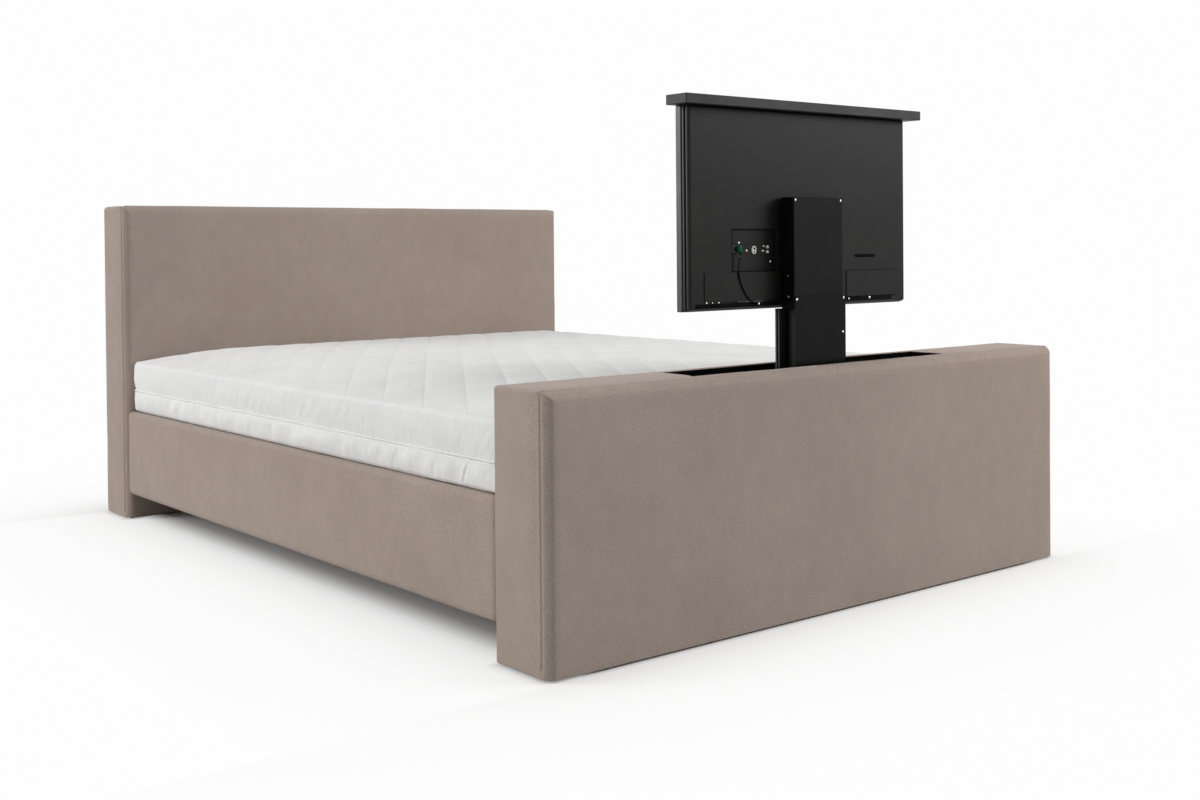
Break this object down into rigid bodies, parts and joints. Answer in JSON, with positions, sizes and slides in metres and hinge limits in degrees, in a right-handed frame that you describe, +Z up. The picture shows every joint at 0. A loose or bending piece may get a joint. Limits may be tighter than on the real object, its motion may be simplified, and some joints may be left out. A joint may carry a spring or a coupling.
{
  "type": "upholstered tv bed",
  "caption": "Upholstered double bed with a tall headboard, padded side rails, a mattress and a hollow footboard from which a flat television rises on a telescopic lift.",
  "frame": {"origin": "on the floor under the middle of the bed", "axes": "+Z up, +Y along the bed towards the headboard, +X across it, to the right as seen from the foot end"},
  "size_m": [1.66, 2.38, 1.1623],
  "materials": {
    "upholstery_fabric": "brushed taupe velour",
    "mattress_fabric": "quilted white ticking",
    "board_wood": "raw board and timber",
    "board_black": "board painted matt black",
    "skid_rubber": "matt black",
    "lift_steel": "black powder coat",
    "lift_cover": "fine black powder coat",
    "bright_steel": "bright zinc plate",
    "tv_plastic": "fine-grained charcoal",
    "screen_gloss": "dark glossy screen",
    "plug_green": "green moulding",
    "lead_rubber": "black sheath"
  },
  "bodies": {
    "bed": {"headboard_cover": "upholstery_fabric", "headboard_front_board": "board_wood", "headboard_back_board": "board_wood", "headboard_upright_left": "board_wood", "headboard_upright_right": "board_wood", "headboard_top_rail": "board_wood", "headboard_skid": "skid_rubber", "footboard_cover": "upholstery_fabric", "footboard_outer_board": "board_black", "footboard_inner_board": "board_black", "footboard_end_left": "board_black", "footboard_end_right": "board_black", "footboard_floor": "board_black", "footboard_top": "board_black", "footboard_skid": "skid_rubber", "rail_cover_left": "upholstery_fabric", "rail_cover_right": "upholstery_fabric", "side_rail_left": "board_wood", "side_rail_right": "board_wood", "ledger_left": "board_wood", "ledger_right": "board_wood", "bracket_foot_left": "lift_steel", "bracket_foot_right": "lift_steel", "bracket_head_left": "lift_steel", "bracket_head_right": "lift_steel", "centre_beam": "board_wood", "centre_leg": "board_wood", "slat_1": "board_wood", "slat_2": "board_wood", "slat_3": "board_wood", "slat_4": "board_wood", "slat_5": "board_wood", "slat_6": "board_wood", "slat_7": "board_wood", "slat_8": "board_wood", "mattress": "mattress_fabric", "lift_base_channel": "lift_steel", "spindle_drive": "lift_steel", "lift_spindle": "bright_steel"},
    "middle_stage": {"lift_middle_cover": "lift_cover", "lift_guide_left": "lift_steel", "lift_guide_right": "lift_steel", "spindle_nut": "bright_steel", "cover_screw_left": "bright_steel", "cover_screw_right": "bright_steel"},
    "top_stage": {"lift_carriage": "lift_cover", "lift_inner_rail": "lift_steel", "tv_mount_plate": "lift_steel", "carriage_screw_left": "bright_steel", "carriage_screw_right": "bright_steel", "tv_bezel": "tv_plastic", "tv_screen": "screen_gloss", "tv_rear_shell": "tv_plastic", "connector_panel": "tv_plastic", "lead_plug": "plug_green", "tv_cover_left": "tv_plastic", "tv_cover_right": "tv_plastic", "tv_lead": "lead_rubber", "lead_clip": "bright_steel", "lid": "tv_plastic"}
  },
  "joints": [
    {"name": "lift_middle_slide", "type": "slide", "parent": "bed", "child": "middle_stage", "axis": [0, 0, 1], "range_m": [-0.301, 0]},
    {"name": "lift_top_slide", "type": "slide", "parent": "middle_stage", "child": "top_stage", "axis": [0, 0, 1], "range_m": [-0.301, 0]}
  ],
  "couplings": [
    {"joint": "lift_top_slide", "follows": "lift_middle_slide", "ratio": 1}
  ]
}
